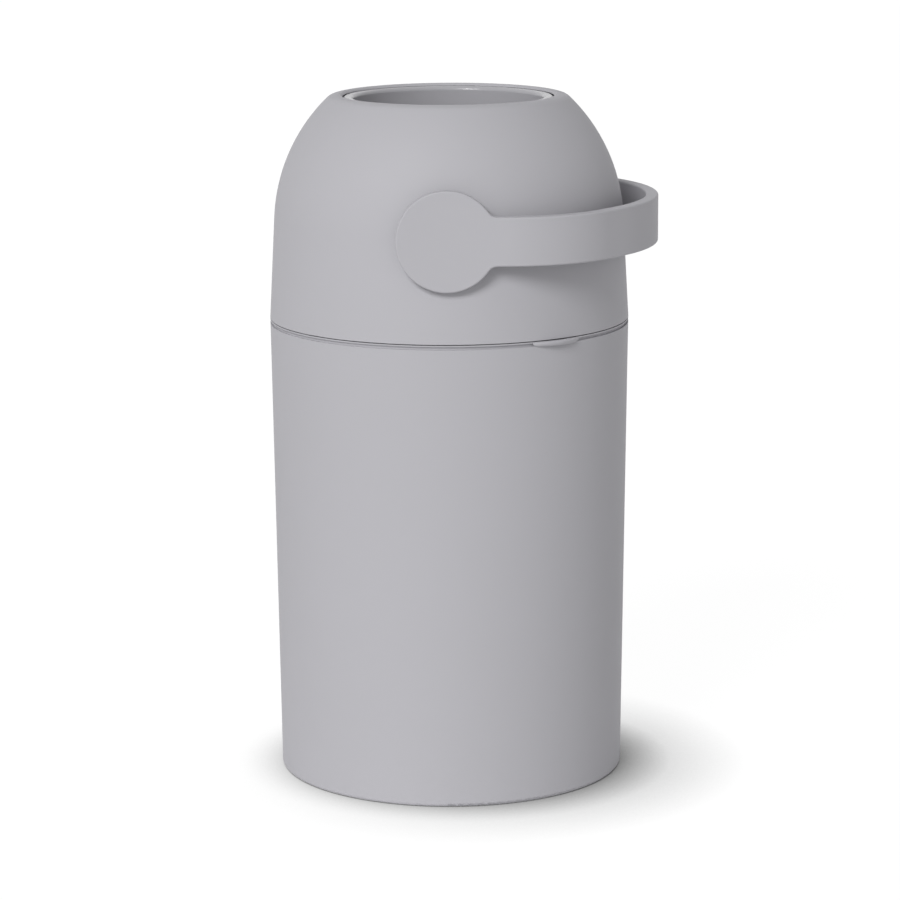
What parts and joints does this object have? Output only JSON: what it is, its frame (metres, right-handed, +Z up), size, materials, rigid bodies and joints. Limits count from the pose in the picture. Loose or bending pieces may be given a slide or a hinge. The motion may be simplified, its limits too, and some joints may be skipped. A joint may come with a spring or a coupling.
{
  "type": "nappy bin",
  "caption": "Tapered round bin with a domed hinged head, a ball-shaped flip drum with a straight chamber and loose piston, and a U-shaped turning handle",
  "frame": {"origin": "centre of the underside of the base, where the bin rests", "axes": "+Z up; the drum's axle lies along Y; +X towards the handle's bow at rest"},
  "size_m": [0.3135, 0.3, 0.5519],
  "materials": {
    "body_grey": "fine satin moulded texture",
    "inner_plastic": "plain moulded",
    "bearing_plastic": "smooth",
    "rubber": "matt",
    "steel": "bright zinc plated"
  },
  "bodies": {
    "pail": {"pail": "body_grey", "base_grip_ring": "rubber", "rim_frame": "body_grey", "bag_ring": "inner_plastic", "rim_gasket": "rubber", "hinge_pin": "steel", "latch_pin": "steel", "latch_spring": "steel"},
    "latch": {"latch_lever": "body_grey"},
    "head": {"dome_shell": "body_grey", "head_deck": "inner_plastic", "deck_screws": "steel", "top_seal": "rubber", "deck_seal": "rubber", "front_bush": "bearing_plastic", "rear_bush": "bearing_plastic"},
    "drum": {"front_drum_shell": "inner_plastic", "rear_drum_shell": "inner_plastic", "chamber_tube": "body_grey", "upper_mouth_ring": "body_grey", "lower_mouth_ring": "body_grey", "handle": "body_grey", "hub_screws": "steel"},
    "piston": {"piston_top_half": "inner_plastic", "piston_bottom_half": "inner_plastic", "piston_weight": "steel", "upper_wiper": "rubber", "lower_wiper": "rubber"}
  },
  "joints": [
    {"name": "head_hinge", "type": "hinge", "parent": "pail", "child": "head", "pos_m": [-0.08817, 0.12135, 0.37], "axis": [-0.809, -0.5878, 0], "range_deg": [0, 95]},
    {"name": "drum_flip", "type": "hinge", "parent": "head", "child": "drum", "pos_m": [0, 0, 0.453], "axis": [0, -1, 0], "range_deg": [0, 180]},
    {"name": "piston_slide", "type": "slide", "parent": "drum", "child": "piston", "axis": [0, 0, 1], "range_m": [0, 0.1358]},
    {"name": "latch_press", "type": "hinge", "parent": "pail", "child": "latch", "pos_m": [0.08111, -0.11164, 0.3645], "axis": [0.809, 0.5878, 0], "range_deg": [0, 9], "stiffness_Nm_per_rad": 0.1, "springref_deg": -17.19, "deforming": ["latch_spring"]}
  ]
}
